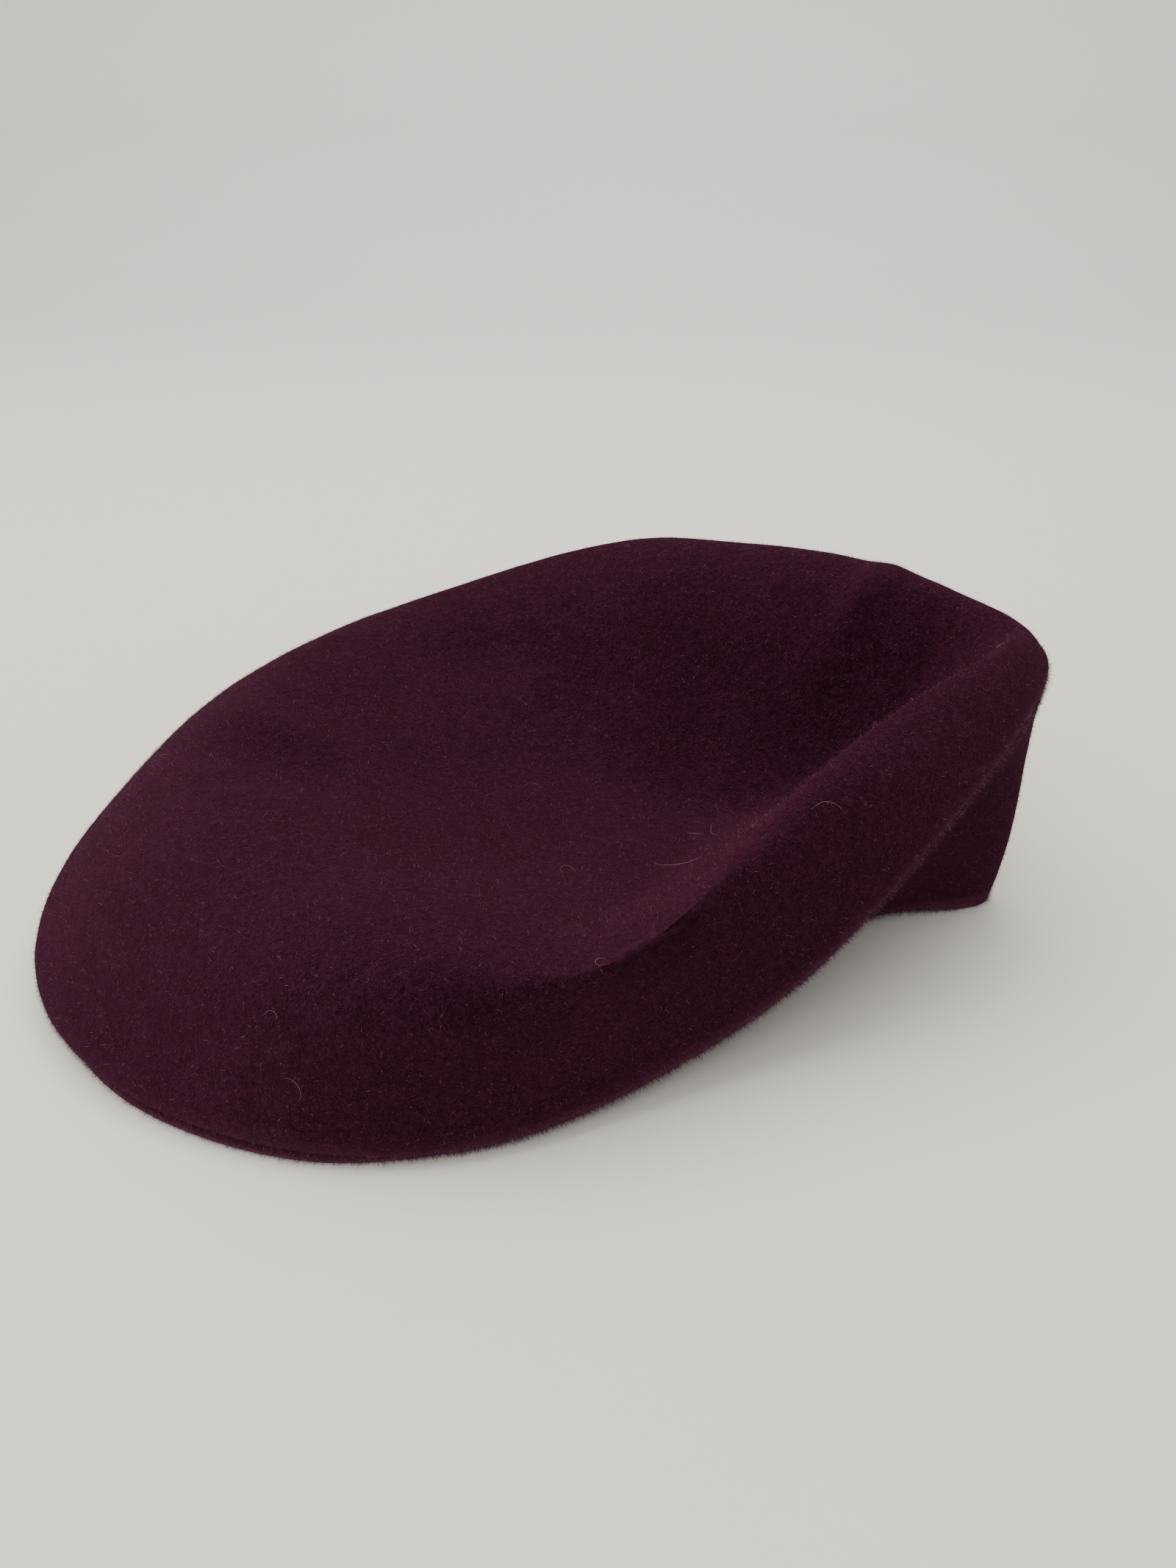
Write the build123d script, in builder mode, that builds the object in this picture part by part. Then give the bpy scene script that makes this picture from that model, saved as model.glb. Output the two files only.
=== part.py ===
from build123d import *
import os
import numpy as np

# A wool felt beret lying on a table with the crown sunk into a dish: one end stands up on its
# side wall, the other lies flat, folded over its own underside. Millimetres, +Z up, the table
# is z = 0 and the origin is on the table under the middle of the beret.

# ---- driving dimensions ----
felt_thickness = 3.0
ribbon_height = 24.0
ribbon_thickness = 0.6
ribbon_rise = 2.5
ribbon_join = 4.5
fabric_gap = 0.25
stitch_length = 3.2
stitch_width = 0.7
stitch_height = 0.4
stitch_pitch = 7.0
stitch_gap = 0.45
label_turn = 5.62
label_width = 42.0
label_height = 15.0
label_rise = 7.0
label_thickness = 0.4
care_turn = 3.02
care_width = 24.0
care_length = 26.0
tab_turn = 3.56
tab_width = 12.0
tab_length = 12.0
flap_thickness = 0.5
flap_rise = 6.0
flap_gap = 0.6
flap_lean = 2.2
bow_length = 44.0
bow_ribbon = 9.0
bow_layer = 0.5
bow_depth = 2.6
bow_lift = 2.2
knot_width = 6.0
knot_height = 7.0

dish_floor = (28.0, -13.0, 29.5)
middle = (-15.5, -10.1)
settle = 0.2

# Nineteen stations around the beret, starting at the raised end and going round the far side.
# rim x y z | shoulder x y z | free edge x y z | fold half height, fold half depth |
# slope into the fold, dip out of it, wall angle at the free edge (degrees) |
# share of the way that the dish stays flat, that the shoulder stays level inwards and outwards
stations = np.array([
    (128, -13, 76, 118.5, -9.5, 88, 124.5, -11.5, 0, 8, 6, 50, 80, 78, 0.68, 0.1, 0.55),
    (126, 4, 77, 114, 9, 90, 119, 3, 0, 8, 6, 50, 72, 80, 0.68, 0.11, 0.5),
    (103, 40, 76, 89.5, 36.5, 92, 90, 26, 0, 8, 6, 45, 60, 80, 0.5, 0.22, 0.5),
    (66, 69, 73, 54, 60, 91.5, 48, 43, 0, 8, 6, 40, 50, 70, 0.44, 0.26, 0.5),
    (20, 89, 65, 14, 79, 86, 8, 52, 0, 8, 6, 35, 40, 60, 0.42, 0.28, 0.5),
    (-28, 98, 53, -30, 87, 72, -32, 51, 0, 8, 6, 35, 30, 50, 0.42, 0.28, 0.5),
    (-76, 96, 40, -68, 74, 62, -68, 42, 0, 8, 6, 40, 20, 30, 0.42, 0.26, 0.5),
    (-118, 76, 27, -92, 49, 58, -96, 24, 0, 7, 6, 45, 12, 12, 0.42, 0.24, 0.5),
    (-147, 42, 18, -101, 19, 55, -110, -2, 0, 6.5, 5.5, 45, 6, 4, 0.46, 0.20, 0.5),
    (-160, -2, 12, -97, -12, 50, -108, -29, 0, 6, 5, 40, 2, 2, 0.48, 0.20, 0.5),
    (-157, -44, 8.5, -86, -40, 48, -90, -52, 0, 6, 5, 35, 0, 0, 0.50, 0.20, 0.5),
    (-137, -80, 6.8, -66, -66, 47, -62, -62, 0, 6, 5, 38, 0, 0, 0.50, 0.20, 0.5),
    (-100, -107, 6.5, -40, -88, 47, -30, -64, 0, 6, 5, 45, 0, 0, 0.50, 0.25, 0.5),
    (-56, -119, 6.5, -12, -100, 46, 0, -60, 0, 6, 5, 50, 0, 0, 0.50, 0.28, 0.5),
    (-14, -113, 8.5, 12, -95, 47.5, 30, -50, 0.5, 6.5, 5.5, 60, 2, 12, 0.52, 0.30, 0.55),
    (24, -96, 16, 31, -79.5, 54, 56, -40, 1.5, 7, 6, 65, 6, 30, 0.58, 0.2, 0.62),
    (56, -80, 30, 50, -62, 64.5, 76, -30, 3, 8, 7.5, 62, 8, 48, 0.62, 0.15, 0.68),
    (86, -60, 51, 76, -42.5, 77, 93, -23, 3.5, 8, 8, 60, 14, 64, 0.66, 0.12, 0.68),
    (113, -34, 68, 103, -24.5, 86, 112, -18.5, 1.5, 8, 6.5, 55, 48, 76, 0.68, 0.1, 0.62),
], dtype=float)

# Soft swells and dents of the crown: x, y, half length, half width, heading, lift
swells = [
    (-91, -9, 23, 9.5, -37, -3.4),
    (-90, 3.5, 20, 6.5, -29, 2.2),
    (82, 25, 14, 6.5, 32, 4.0),
    (99, 6, 11, 8, 50, -3.2),
    (46, 54, 22, 12, -30, -2.0),
    (-42, 54, 20, 12, 10, -2.0),
    (14, -84, 24, 9, 20, 0.8),
]

count = len(stations)


# ---- the felt skin as a surface: turn goes round the beret, way goes from the dish to the edge ----
def slopes_of(table):
    ring = 4 * np.eye(count) + np.roll(np.eye(count), 1, 0) + np.roll(np.eye(count), -1, 0)
    return np.linalg.solve(ring, 3 * (np.roll(table, -1, 0) - np.roll(table, 1, 0)))


slopes = slopes_of(stations)


def station(turn):
    k = int(np.floor(turn))
    f = turn - k
    a, b = k % count, (k + 1) % count
    start = (1 + 2 * f) * (1 - f) ** 2 * stations[a] + f * (1 - f) ** 2 * slopes[a]
    return start + f * f * (3 - 2 * f) * stations[b] - f * f * (1 - f) * slopes[b]


def bezier(f, a, b, c, d):
    return (1 - f) ** 3 * a + 3 * (1 - f) ** 2 * f * b + 3 * (1 - f) * f * f * c + f ** 3 * d


def level(a, b, share):
    point = a + (b - a) * share
    point[2] = a[2]
    return point


def skin(way, turn):
    """way 0 dish, 1 shoulder, 2 top of the fold, 3 bottom of the fold, 4 free edge."""
    row = station(turn)
    rim, shoulder, edge = row[0:3], row[3:6], row[6:9]
    tall, deep = row[9], row[10]
    into, dip, wall = np.radians(row[11:14])
    up = np.array([0.0, 0.0, 1.0])
    inward = edge - rim + 0.15 * (np.array([0.0, -15.0, 0.0]) - rim)
    inward[2] = 0.0
    inward = inward / np.linalg.norm(inward)
    heart = rim + inward * deep

    def round_fold(angle):
        return heart + up * tall * np.cos(angle) - inward * deep * np.sin(angle)

    if way <= 1:
        floor = np.array(dish_floor)
        flat_end = level(floor, shoulder, row[14])
        brow = level(shoulder, floor, row[15])
        point = bezier(way, floor, flat_end, brow, shoulder)
    elif way <= 2:
        top = round_fold(into)
        run = np.linalg.norm((top - shoulder)[:2])
        down = top - (-inward * np.cos(into) - up * np.sin(into)) * (0.12 * run + 5.0)
        point = bezier(way - 1, shoulder, level(shoulder, top, row[16]), down, top)
    elif way <= 3:
        return round_fold(into + (np.pi - dip - into) * (way - 2))
    else:
        heel = round_fold(np.pi - dip)
        gap = np.linalg.norm(edge - heel)
        leave = inward * np.cos(dip) - up * np.sin(dip)
        arrive = -inward * np.cos(wall) + up * np.sin(wall)
        return bezier(way - 3, heel, heel + leave * gap * 0.28, edge + arrive * gap * 0.4, edge)
    fade = min(1.0, max(0.0, (2 - way) * 3))
    for x, y, long, wide, heading, lift in swells:
        c, s = np.cos(np.radians(heading)), np.sin(np.radians(heading))
        along = ((point[0] - x) * c + (point[1] - y) * s) / long
        across = (-(point[0] - x) * s + (point[1] - y) * c) / wide
        point = point + up * lift * fade * np.exp(-along ** 2 - across ** 2)
    return point


def frame_at(way, turn):
    """The point, the way round the beret, the way down to the free edge and the inner side."""
    near = 0.004
    low, high = max(way - near, 0.0), min(way + near, 4.0)
    down = skin(high, turn) - skin(low, turn)
    around = skin(way, turn + 0.02) - skin(way, turn - 0.02)
    inner = np.cross(around, down)
    inner = inner / np.linalg.norm(inner)
    return skin(way, turn), around / np.linalg.norm(around), down / np.linalg.norm(down), inner


def under(way, turn, depth):
    point, around, down, inner = frame_at(way, turn)
    return point + inner * depth


def placed(point):
    return Vector(point[0] - middle[0], point[1] - middle[1], point[2] - settle)


def ring_edges(way, depth):
    """A closed ring round the beret: one cubic edge from each station to the next."""
    small = 0.01
    knots, tangents = [], []
    for k in range(count):
        knots.append(placed(under(way, k, depth)))
        step = under(way, k + small, depth) - under(way, k - small, depth)
        tangents.append(Vector(*(step / (6 * small))))
    edges = []
    for k in range(count):
        a, b = k, (k + 1) % count
        edges.append(Edge.make_bezier(knots[a], knots[a] + tangents[a], knots[b] - tangents[b], knots[b]))
    return edges


def fan(pole, edges):
    """The small flat facets round a pole, and the straight ring that they end on."""
    corners = [edge @ 0 for edge in edges]
    pairs = list(zip(corners, corners[1:] + corners[:1]))
    facets = [Face(Wire.make_polygon([pole, a, b], close=True)) for a, b in pairs]
    return facets, [Edge.make_line(a, b) for a, b in pairs]


def way_up(turn, rise):
    """How far round the skin a point lies that is rise millimetres above the free edge."""
    way, far, here = 4.0, 0.0, skin(4.0, turn)
    while far < rise:
        way -= 0.004
        there = skin(way, turn)
        far += np.linalg.norm(there - here)
        here = there
    return way


def turn_along(turn, rise, distance):
    """The turn that lies distance millimetres further round the beret along the wall."""
    step = 0.01 if distance > 0 else -0.01
    far, here = 0.0, skin(way_up(turn, rise), turn)
    while far < abs(distance):
        turn += step
        there = skin(way_up(turn, rise), turn)
        far += np.linalg.norm(there - here)
        here = there
    return turn


def wall_plane(turn, rise, depth):
    """A plane on the inner side of the wall: x round the beret, y up the wall, z inward."""
    point, around, down, inner = frame_at(way_up(turn, rise), turn)
    place = placed(point + inner * depth)
    return Plane(origin=place, x_dir=Vector(*-around), z_dir=Vector(*inner))


def strip(first, last, low, high, near, far, sections):
    """A band on the inner side of the wall that follows it from one turn to another."""
    frames = []
    for turn in np.linspace(first, last, sections):
        middle_point, around, down, inner = frame_at(way_up(turn, (low + high) / 2), turn)

        def flat(rise, depth):
            point = under(way_up(turn, rise), turn, depth)
            return placed(point - around * np.dot(point - middle_point, around))

        rises = (low, (low + high) / 2, high)
        corners = [flat(rise, far) for rise in rises] + [flat(rise, near) for rise in rises[::-1]]
        frames.append(Wire([Edge.make_line(a, b) for a, b in zip(corners, corners[1:] + corners[:1])]))
    return Solid.make_loft(frames, ruled=True)


# ---- the felt body: one thick skin, lofted from under the dish, round the edge and back up ----
ways = [0.08, 0.2, 0.32, 0.44, 0.56, 0.68, 0.8, 0.9, 1.0, 1.12, 1.26, 1.42, 1.58, 1.74, 1.88]
ways += [2.0, 2.2, 2.4, 2.6, 2.8, 3.0, 3.1, 3.22, 3.36, 3.5, 3.65, 3.8, 3.92]
dish_under = placed(np.array(dish_floor) - np.array([0.0, 0.0, felt_thickness]))
rings = [ring_edges(way, felt_thickness) for way in ways]
rings += [ring_edges(4.0, felt_thickness - 0.9), ring_edges(4.0, 0.9)]
rings += [ring_edges(way, 0.0) for way in reversed(ways)]
faces, rings[0] = fan(dish_under, rings[0])
outer_facets, rings[-1] = fan(placed(dish_floor), rings[-1])
faces += outer_facets
for lower, upper in zip(rings, rings[1:]):
    faces += [Face.make_surface_from_curves(a, b) for a, b in zip(lower, upper)]

with BuildPart() as felt_body:
    add(Solid(Shell(faces)))
    split(bisect_by=Plane.XY, keep=Keep.TOP)
felt_body.part.label = "felt_body"

# ---- the sweatband: a ribbon that stands on the inner side of the wall along the head opening ----
ribbon_near = felt_thickness + fabric_gap
ribbon_face = ribbon_near + ribbon_thickness
ribbon_top = ribbon_rise + ribbon_height
with BuildPart() as sweatband:
    add(strip(ribbon_join + 0.01, ribbon_join + count - 0.01, ribbon_rise, ribbon_top,
              ribbon_near, ribbon_face, count * 4))
sweatband.part.label = "sweatband"

# ---- the row of stitches along the lower edge of the sweatband ----
seam_turns = [ribbon_join + 0.08]
while seam_turns[-1] < ribbon_join + count - 0.25:
    seam_turns.append(turn_along(seam_turns[-1], ribbon_rise + 1.5, stitch_pitch))
with BuildPart() as sweatband_stitches:
    for turn in seam_turns:
        with BuildSketch(wall_plane(turn, ribbon_rise + 1.5, ribbon_face + stitch_gap)):
            SlotOverall(stitch_length, stitch_width)
        extrude(amount=stitch_height)
sweatband_stitches.part.label = "sweatband_stitches"

# ---- the woven label, which follows the ribbon, and the stitches at its two ends ----
label_first = turn_along(label_turn, label_rise, -label_width / 2)
label_last = turn_along(label_turn, label_rise, label_width / 2)
label_near = ribbon_face + fabric_gap
label_face = label_near + label_thickness
with BuildPart() as woven_label:
    add(strip(label_first, label_last, label_rise, label_rise + label_height,
              label_near, label_face, 9))
woven_label.part.label = "woven_label"

end_turns = [turn_along(label_first, label_rise, 1.6), turn_along(label_last, label_rise, -1.6)]
with BuildPart() as label_stitches:
    for turn in end_turns:
        for k in range(4):
            with BuildSketch(wall_plane(turn, label_rise + 2.1 + 3.6 * k, label_face + stitch_gap)):
                SlotOverall(2.4, 0.5, rotation=90)
            extrude(amount=0.3)
label_stitches.part.label = "label_stitches"

# ---- the flat bow over the join of the ribbon: two loops and the knot that holds them ----
bow_plane = wall_plane(ribbon_join, ribbon_rise + ribbon_height / 2, ribbon_face + bow_lift)
with BuildPart() as bow_loops:
    with BuildSketch(bow_plane):
        with BuildLine():
            Polyline((0, 2.4), (7, 4.2), (bow_length / 2, 5), (bow_length / 2, -5), (7, -4.2), (0, -2.4))
            mirror(about=Plane.YZ)
        make_face()
    extrude(amount=bow_depth)
    half = bow_length / 4 - 0.5
    for side in (-1, 1):
        start = Plane(bow_plane.location * Pos(side * (half + 1.0), 0, bow_depth / 2))
        with BuildSketch(Plane(origin=start.origin, x_dir=start.x_dir, z_dir=start.y_dir)):
            SlotOverall(2 * half - 1.5, bow_depth - 2 * bow_layer)
        extrude(amount=8, both=True, mode=Mode.SUBTRACT)
bow_loops.part.label = "bow_loops"

with BuildPart() as bow_knot:
    with BuildSketch(bow_plane.offset(0.35 - bow_lift)):
        RectangleRounded(knot_width, knot_height, 1.2)
    extrude(amount=bow_lift + bow_depth + 0.8)
    with BuildSketch(bow_plane.offset(-0.1)):
        Rectangle(knot_width + 2, 2 * 2.4 + 2 * knot_width / 2 * 1.8 / 7 + 0.3)
    extrude(amount=bow_depth + 0.2, mode=Mode.SUBTRACT)
bow_knot.part.label = "bow_knot"


# ---- the care label and the size tab: flaps sewn on by their lower edge ----
def flap_plane(turn):
    plane = wall_plane(turn, flap_rise, ribbon_face + flap_gap)
    return plane.rotated((flap_lean, 0, 0))


with BuildPart() as care_label:
    with BuildSketch(flap_plane(care_turn)):
        with Locations((0, care_length / 2)):
            RectangleRounded(care_width, care_length, 0.8)
    extrude(amount=flap_thickness)
care_label.part.label = "care_label"

with BuildPart() as size_tab:
    with BuildSketch(flap_plane(tab_turn)):
        with Locations((0, tab_length / 2)):
            RectangleRounded(tab_width, tab_length, 0.8)
    extrude(amount=flap_thickness)
size_tab.part.label = "size_tab"

# ---- one file for each piece ----
os.makedirs("parts", exist_ok=True)
for piece in (felt_body, sweatband, sweatband_stitches, woven_label, label_stitches,
              bow_loops, bow_knot, care_label, size_tab):
    export_step(piece.part, "parts/" + piece.part.label + ".step")
    box = piece.part.bounding_box()
    print(piece.part.label, round(piece.part.volume, 1), piece.part.is_valid,
          [round(v, 1) for v in (box.min.X, box.max.X, box.min.Y, box.max.Y, box.min.Z, box.max.Z)])

for name, turn in (("care_label", care_turn), ("size_tab", tab_turn)):
    plane = flap_plane(turn)
    print(name, "sewn edge at", [round(v, 2) for v in plane.origin], "along",
          [round(v, 4) for v in plane.x_dir], "wall normal", [round(v, 4) for v in plane.z_dir])
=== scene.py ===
import math
import bpy
import numpy as np
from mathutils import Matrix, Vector, noise


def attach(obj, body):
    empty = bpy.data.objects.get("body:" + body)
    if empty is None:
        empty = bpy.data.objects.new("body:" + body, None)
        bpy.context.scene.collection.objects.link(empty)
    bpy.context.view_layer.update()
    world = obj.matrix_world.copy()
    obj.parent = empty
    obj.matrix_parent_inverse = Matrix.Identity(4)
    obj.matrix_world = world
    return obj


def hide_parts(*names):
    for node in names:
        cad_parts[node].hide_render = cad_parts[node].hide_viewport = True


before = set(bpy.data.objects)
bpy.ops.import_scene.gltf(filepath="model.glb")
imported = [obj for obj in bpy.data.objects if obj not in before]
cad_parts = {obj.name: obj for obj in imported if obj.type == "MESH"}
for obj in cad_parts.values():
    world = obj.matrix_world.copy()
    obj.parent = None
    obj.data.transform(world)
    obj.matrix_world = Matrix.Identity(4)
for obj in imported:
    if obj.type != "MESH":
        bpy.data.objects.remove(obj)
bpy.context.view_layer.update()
bpy.ops.object.select_all(action="DESELECT")
mm = 0.001
thirds = (0, 2.094, 4.189)  # three corners round a fibre, in radians

# The beret is shaped from nineteen stations round its outline, from the raised end round the far side.
# rim x y z | shoulder x y z | free edge x y z | fold half height, half depth | slope in, dip out, wall angle |
# share of the way that the dish stays flat, that the shoulder stays level inwards and outwards
stations = np.array([
    (128, -13, 76, 118.5, -9.5, 88, 124.5, -11.5, 0, 8, 6, 50, 80, 78, 0.68, 0.1, 0.55),
    (126, 4, 77, 114, 9, 90, 119, 3, 0, 8, 6, 50, 72, 80, 0.68, 0.11, 0.5),
    (103, 40, 76, 89.5, 36.5, 92, 90, 26, 0, 8, 6, 45, 60, 80, 0.5, 0.22, 0.5),
    (66, 69, 73, 54, 60, 91.5, 48, 43, 0, 8, 6, 40, 50, 70, 0.44, 0.26, 0.5),
    (20, 89, 65, 14, 79, 86, 8, 52, 0, 8, 6, 35, 40, 60, 0.42, 0.28, 0.5),
    (-28, 98, 53, -30, 87, 72, -32, 51, 0, 8, 6, 35, 30, 50, 0.42, 0.28, 0.5),
    (-76, 96, 40, -68, 74, 62, -68, 42, 0, 8, 6, 40, 20, 30, 0.42, 0.26, 0.5),
    (-118, 76, 24.5, -92, 49, 58, -96, 24, 0, 7, 6, 45, 12, 12, 0.42, 0.24, 0.5),
    (-147, 42, 18, -101, 19, 55, -110, -2, 0, 6.5, 5.5, 45, 6, 4, 0.46, 0.20, 0.5),
    (-160, -2, 12, -97, -12, 50, -108, -29, 0, 6, 5, 40, 2, 2, 0.48, 0.20, 0.5),
    (-157, -44, 8.5, -86, -40, 48, -90, -52, 0, 6, 5, 35, 0, 0, 0.50, 0.20, 0.5),
    (-137, -80, 6.8, -66, -66, 47, -62, -62, 0, 6, 5, 38, 0, 0, 0.50, 0.20, 0.5),
    (-100, -107, 6.5, -40, -88, 47, -30, -64, 0, 6, 5, 45, 0, 0, 0.50, 0.25, 0.6),
    (-56, -119, 6.5, -12, -102.5, 45.2, 0, -60, 0, 6, 5, 50, 0, 0, 0.50, 0.28, 0.62),
    (-14, -113, 8.5, 12, -97, 47, 30, -50, 0.5, 6.5, 5.5, 60, 2, 12, 0.52, 0.30, 0.64),
    (24, -96, 16, 31, -79.5, 54, 56, -40, 1.5, 7, 6, 65, 6, 30, 0.58, 0.2, 0.66),
    (56, -80, 30, 50, -62, 64.5, 76, -30, 3, 8, 7.5, 62, 8, 48, 0.62, 0.15, 0.68),
    (86, -60, 51, 76, -42.5, 77, 93, -23, 3.5, 8, 8, 60, 14, 64, 0.66, 0.12, 0.68),
    (113, -34, 68, 103, -24.5, 86, 112, -18.5, 1.5, 8, 6.5, 55, 48, 76, 0.68, 0.1, 0.62),
])
count = len(stations)
felt = {
    "thickness": 3.0, "dishFloor": (28.0, -13.0, 29.5), "middle": (-15.5, -10.1), "settle": 0.2,
    "turns": 300, "outerSteps": (38, 32, 34, 32), "innerSteps": (18, 10, 30), "lipSteps": 8,
    "swells": [(-91, -9, 23, 9.5, -37, -3.4), (-90, 3.5, 20, 6.5, -29, 2.2), (82, 25, 14, 6.5, 32, 4.0),
               (99, 6, 11, 8, 50, -3.2), (46, 54, 22, 12, -30, -2.0), (-42, 54, 20, 12, 10, -2.0),
               (14, -84, 24, 9, 20, 0.8)],   # x, y, half length, half width, heading, lift
    "lumps": ((38.0, 0.28), (110.0, 0.13)),  # how many a metre, how high in mm
    "lip": 2.5, "lipGroove": 2.0,            # the under layer that shows below the fold at the flat end
    "lipTurn": 12.15, "lipRise": 1.0, "grooveRise": 2.6,
    "deep": (0.0050, 0.0007, 0.0032, 1), "mid": (0.0130, 0.0018, 0.0075, 1), "light": (0.029, 0.0056, 0.0162, 1),
    # the pale colour below is a painted highlight for the lower edge of the fold and the free edge
    "edgeHighlight": (0.150, 0.046, 0.082, 1), "sheen": 0.14,
}


def makeSlopes():
    ring = 4 * np.eye(count) + np.roll(np.eye(count), 1, 0) + np.roll(np.eye(count), -1, 0)
    return np.linalg.solve(ring, 3 * (np.roll(stations, -1, 0) - np.roll(stations, 1, 0)))


slopes = makeSlopes()


def stationAt(turn):
    k = np.floor(turn).astype(int)
    f = (turn - k)[..., None]
    a, b = k % count, (k + 1) % count
    start = (1 + 2 * f) * (1 - f) ** 2 * stations[a] + f * (1 - f) ** 2 * slopes[a]
    return start + f * f * (3 - 2 * f) * stations[b] - f * f * (1 - f) * slopes[b]


def bezier(f, a, b, c, d):
    return (1 - f) ** 3 * a + 3 * (1 - f) ** 2 * f * b + 3 * (1 - f) * f * f * c + f ** 3 * d


def level(a, b, share):
    point = a + (b - a) * share
    point[..., 2] = a[..., 2]
    return point


def unit(v):
    return v / np.linalg.norm(v, axis=-1, keepdims=True)


def skin(way, turn):
    # way 0 dish, 1 shoulder, 2 top of the fold, 3 bottom of the fold, 4 free edge; in millimetres
    way, turn = np.broadcast_arrays(np.asarray(way, float), np.asarray(turn, float))
    row = stationAt(turn)
    rim, shoulder, edge = row[..., 0:3], row[..., 3:6], row[..., 6:9]
    tall, deep = row[..., 9:10], row[..., 10:11]
    into, dip, wall = (np.radians(row[..., k:k + 1]) for k in (11, 12, 13))
    up = np.array([0.0, 0.0, 1.0])
    inward = edge - rim + 0.15 * (np.array([0.0, -15.0, 0.0]) - rim)
    inward[..., 2] = 0
    inward = unit(inward)
    heart = rim + inward * deep
    w = way[..., None]

    def roundFold(angle):
        return heart + up * tall * np.cos(angle) - inward * deep * np.sin(angle)

    floor = np.broadcast_to(np.array(felt["dishFloor"]), rim.shape)
    dish = bezier(np.clip(w, 0, 1), floor, level(floor, shoulder, row[..., 14:15]),
                  level(shoulder, floor, row[..., 15:16]), shoulder)
    top = roundFold(into)
    run = np.linalg.norm((top - shoulder)[..., :2], axis=-1, keepdims=True)
    down = top - (-inward * np.cos(into) - up * np.sin(into)) * (0.12 * run + 5.0)
    slope = bezier(np.clip(w - 1, 0, 1), shoulder, level(shoulder, top, row[..., 16:17]), down, top)
    fold = roundFold(into + (np.pi - dip - into) * (np.clip(w, 2, 3) - 2))
    heel = roundFold(np.pi - dip)
    gap = np.linalg.norm(edge - heel, axis=-1, keepdims=True)
    leave = inward * np.cos(dip) - up * np.sin(dip)
    arrive = -inward * np.cos(wall) + up * np.sin(wall)
    web = bezier(np.clip(w - 3, 0, 1), heel, heel + leave * gap * 0.28, edge + arrive * gap * 0.4, edge)
    crown = np.where(w <= 1, dish, slope)
    fade = np.clip((2 - way) * 3, 0, 1)
    for x, y, long, wide, heading, lift in felt["swells"]:
        c, s = math.cos(math.radians(heading)), math.sin(math.radians(heading))
        along = ((crown[..., 0] - x) * c + (crown[..., 1] - y) * s) / long
        across = (-(crown[..., 0] - x) * s + (crown[..., 1] - y) * c) / wide
        crown = crown + up * (lift * fade * np.exp(-along ** 2 - across ** 2))[..., None]
    return np.where(w <= 2, crown, np.where(w <= 3, fold, web))


def frameAt(way, turn):
    way, turn = np.broadcast_arrays(np.asarray(way, float), np.asarray(turn, float))
    low, high = np.maximum(way - 0.004, 0), np.minimum(way + 0.004, 4)
    down = unit(skin(high, turn) - skin(low, turn))
    around = unit(skin(way, turn + 0.02) - skin(way, turn - 0.02))
    return skin(way, turn), around, down, unit(np.cross(around, down))


def placed(points):
    return (points - np.array([felt["middle"][0], felt["middle"][1], felt["settle"]])) * mm


def under(way, turn, depth):
    point, around, down, inner = frameAt(way, turn)
    return point + inner * np.asarray(depth)[..., None]


def wayUp(turn, rise):
    # how far round the skin a point lies that is rise millimetres above the free edge
    ways = np.linspace(4.0, 2.9, 221)
    line = skin(ways, np.full(221, float(turn)))
    far = np.concatenate([[0], np.cumsum(np.linalg.norm(np.diff(line, axis=0), axis=1))])
    return np.interp(rise, far, ways)


def turnAlong(turn, rise, distance):
    turns = turn + np.linspace(0, 1.5, 151) * (1 if distance > 0 else -1)
    line = np.array([skin(wayUp(t, rise), t) for t in turns])
    far = np.concatenate([[0], np.cumsum(np.linalg.norm(np.diff(line, axis=0), axis=1))])
    return float(np.interp(abs(distance), far, turns))


def wallFrame(turn, rise, depth):
    # place, way along the wall, way up the wall and way out of it, on the inner side
    point, around, down, inner = frameAt(wayUp(turn, rise), turn)
    return placed(point + inner * depth), -around, unit(np.cross(inner, -around)), inner


def newPiece(name, body, slotName, *nodes):
    piece = bpy.context.object
    piece.name = name
    piece.data.name = name
    bpy.ops.object.transform_apply(location=True, rotation=True, scale=True)
    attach(piece, body)
    if nodes:
        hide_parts(*nodes)
    bpy.ops.object.select_all(action="DESELECT")
    return piece


def addGrid(across, along):
    # a flat grid whose points are then laid where the cloth lies; gives its column and row numbers
    bpy.ops.mesh.primitive_grid_add(x_subdivisions=across, y_subdivisions=along, size=2)
    mesh = bpy.context.object.data
    flat = np.empty(len(mesh.vertices) * 3)
    mesh.vertices.foreach_get("co", flat)
    flat = flat.reshape(-1, 3)
    column = np.rint((flat[:, 0] + 1) / 2 * across).astype(int)
    row = np.rint((flat[:, 1] + 1) / 2 * along).astype(int)
    return mesh, column, row


def layPoints(mesh, points):
    mesh.vertices.foreach_set("co", np.ascontiguousarray(points, dtype=float).ravel())
    mesh.update()


def closeSkin(distance=0.00001):
    bpy.ops.object.mode_set(mode="EDIT")
    bpy.ops.mesh.select_all(action="SELECT")
    bpy.ops.mesh.remove_doubles(threshold=distance)
    bpy.ops.mesh.normals_make_consistent(inside=False)
    bpy.ops.object.mode_set(mode="OBJECT")
    bpy.ops.object.shade_smooth()


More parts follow.
